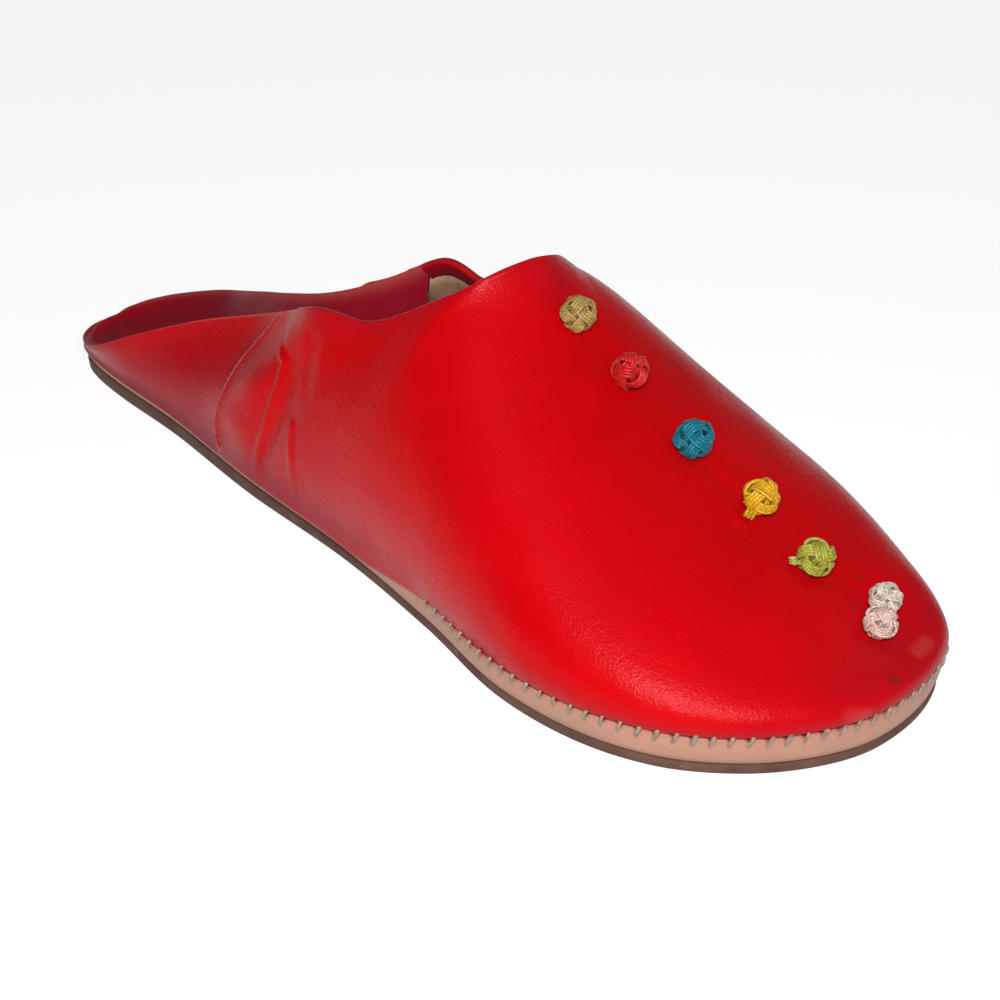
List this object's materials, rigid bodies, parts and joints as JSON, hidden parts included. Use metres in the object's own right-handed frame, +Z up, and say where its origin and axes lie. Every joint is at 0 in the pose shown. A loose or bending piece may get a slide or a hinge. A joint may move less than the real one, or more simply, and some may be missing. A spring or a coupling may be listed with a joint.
{
  "type": "babouche slipper",
  "caption": "Flat leather slipper with a broad rounded toe, turned-up sole edge, folded-down heel quarter and a row of silk knots on the vamp.",
  "frame": {"origin": "on the floor under the middle of the shoe's bounding box", "axes": "+X to the toe, +Y to the outer side of the foot, +Z up"},
  "size_m": [0.265, 0.1, 0.0728],
  "materials": {
    "outsole": "matt dark brown leather",
    "sole": "natural pale leather, edge cut and stitched",
    "insole": "matt natural leather",
    "upper": "semi-gloss red goat leather",
    "knot_gold": "silk thread",
    "knot_coral": "silk thread",
    "knot_teal": "silk thread",
    "knot_yellow": "silk thread",
    "knot_olive": "silk thread",
    "knot_white": "silk thread"
  },
  "bodies": {
    "root": {"outsole": "outsole", "sole": "sole", "insole": "insole", "upper": "upper", "knot_gold": "knot_gold", "knot_coral": "knot_coral", "knot_teal": "knot_teal", "knot_yellow": "knot_yellow", "knot_olive": "knot_olive", "knot_white": "knot_white"}
  },
  "joints": []
}
